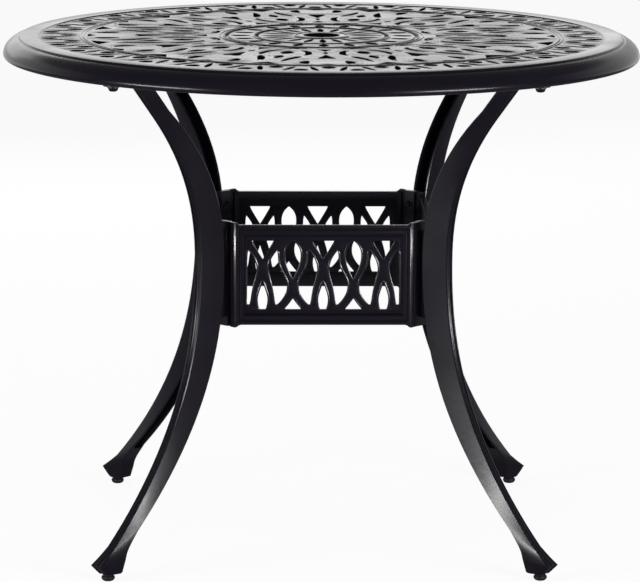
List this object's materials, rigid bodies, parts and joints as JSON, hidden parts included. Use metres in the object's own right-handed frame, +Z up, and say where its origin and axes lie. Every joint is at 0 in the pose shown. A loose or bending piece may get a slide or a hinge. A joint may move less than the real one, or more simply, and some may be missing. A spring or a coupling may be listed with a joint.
{
  "type": "umbrella table",
  "caption": "Round cast-aluminium patio table with a lattice top, a central umbrella hole, bowed legs joined by a box of lattice panels, and levelling glides.",
  "frame": {"origin": "on the ground, on the axis of the umbrella hole", "axes": "+Z up along the umbrella pole, -Y towards the front brace panel, +X to the right seen from the front"},
  "size_m": [0.914, 0.914, 0.73],
  "materials": {
    "powder_coat": "satin black powder coat over cast aluminium, light orange peel",
    "dark_steel": "blackened steel fasteners",
    "stud_steel": "zinc-plated threaded rod",
    "glide_plastic": "moulded black nylon"
  },
  "bodies": {
    "frame": {"table_top": "powder_coat", "leg_front_left": "powder_coat", "leg_front_right": "powder_coat", "leg_back_right": "powder_coat", "leg_back_left": "powder_coat", "brace_front": "powder_coat", "brace_right": "powder_coat", "brace_back": "powder_coat", "brace_left": "powder_coat", "top_bolt_outer_front_left": "dark_steel", "top_washer_outer_front_left": "dark_steel", "top_bolt_inner_front_left": "dark_steel", "top_washer_inner_front_left": "dark_steel", "brace_bolt_lower_front_left": "dark_steel", "brace_washer_lower_front_left": "dark_steel", "brace_bolt_upper_front_left": "dark_steel", "brace_washer_upper_front_left": "dark_steel", "top_bolt_outer_front_right": "dark_steel", "top_washer_outer_front_right": "dark_steel", "top_bolt_inner_front_right": "dark_steel", "top_washer_inner_front_right": "dark_steel", "brace_bolt_lower_front_right": "dark_steel", "brace_washer_lower_front_right": "dark_steel", "brace_bolt_upper_front_right": "dark_steel", "brace_washer_upper_front_right": "dark_steel", "top_bolt_outer_back_right": "dark_steel", "top_washer_outer_back_right": "dark_steel", "top_bolt_inner_back_right": "dark_steel", "top_washer_inner_back_right": "dark_steel", "brace_bolt_lower_back_right": "dark_steel", "brace_washer_lower_back_right": "dark_steel", "brace_bolt_upper_back_right": "dark_steel", "brace_washer_upper_back_right": "dark_steel", "top_bolt_outer_back_left": "dark_steel", "top_washer_outer_back_left": "dark_steel", "top_bolt_inner_back_left": "dark_steel", "top_washer_inner_back_left": "dark_steel", "brace_bolt_lower_back_left": "dark_steel", "brace_washer_lower_back_left": "dark_steel", "brace_bolt_upper_back_left": "dark_steel", "brace_washer_upper_back_left": "dark_steel"},
    "leveller_front_left": {"glide_front_left": "glide_plastic", "glide_stud_front_left": "stud_steel"},
    "leveller_front_right": {"glide_front_right": "glide_plastic", "glide_stud_front_right": "stud_steel"},
    "leveller_back_right": {"glide_back_right": "glide_plastic", "glide_stud_back_right": "stud_steel"},
    "leveller_back_left": {"glide_back_left": "glide_plastic", "glide_stud_back_left": "stud_steel"}
  },
  "joints": [
    {"name": "level_front_left", "type": "slide", "parent": "frame", "child": "leveller_front_left", "axis": [0, 0, -1], "range_m": [0, 0.008]},
    {"name": "level_front_right", "type": "slide", "parent": "frame", "child": "leveller_front_right", "axis": [0, 0, -1], "range_m": [0, 0.008]},
    {"name": "level_back_right", "type": "slide", "parent": "frame", "child": "leveller_back_right", "axis": [0, 0, -1], "range_m": [0, 0.008]},
    {"name": "level_back_left", "type": "slide", "parent": "frame", "child": "leveller_back_left", "axis": [0, 0, -1], "range_m": [0, 0.008]}
  ]
}
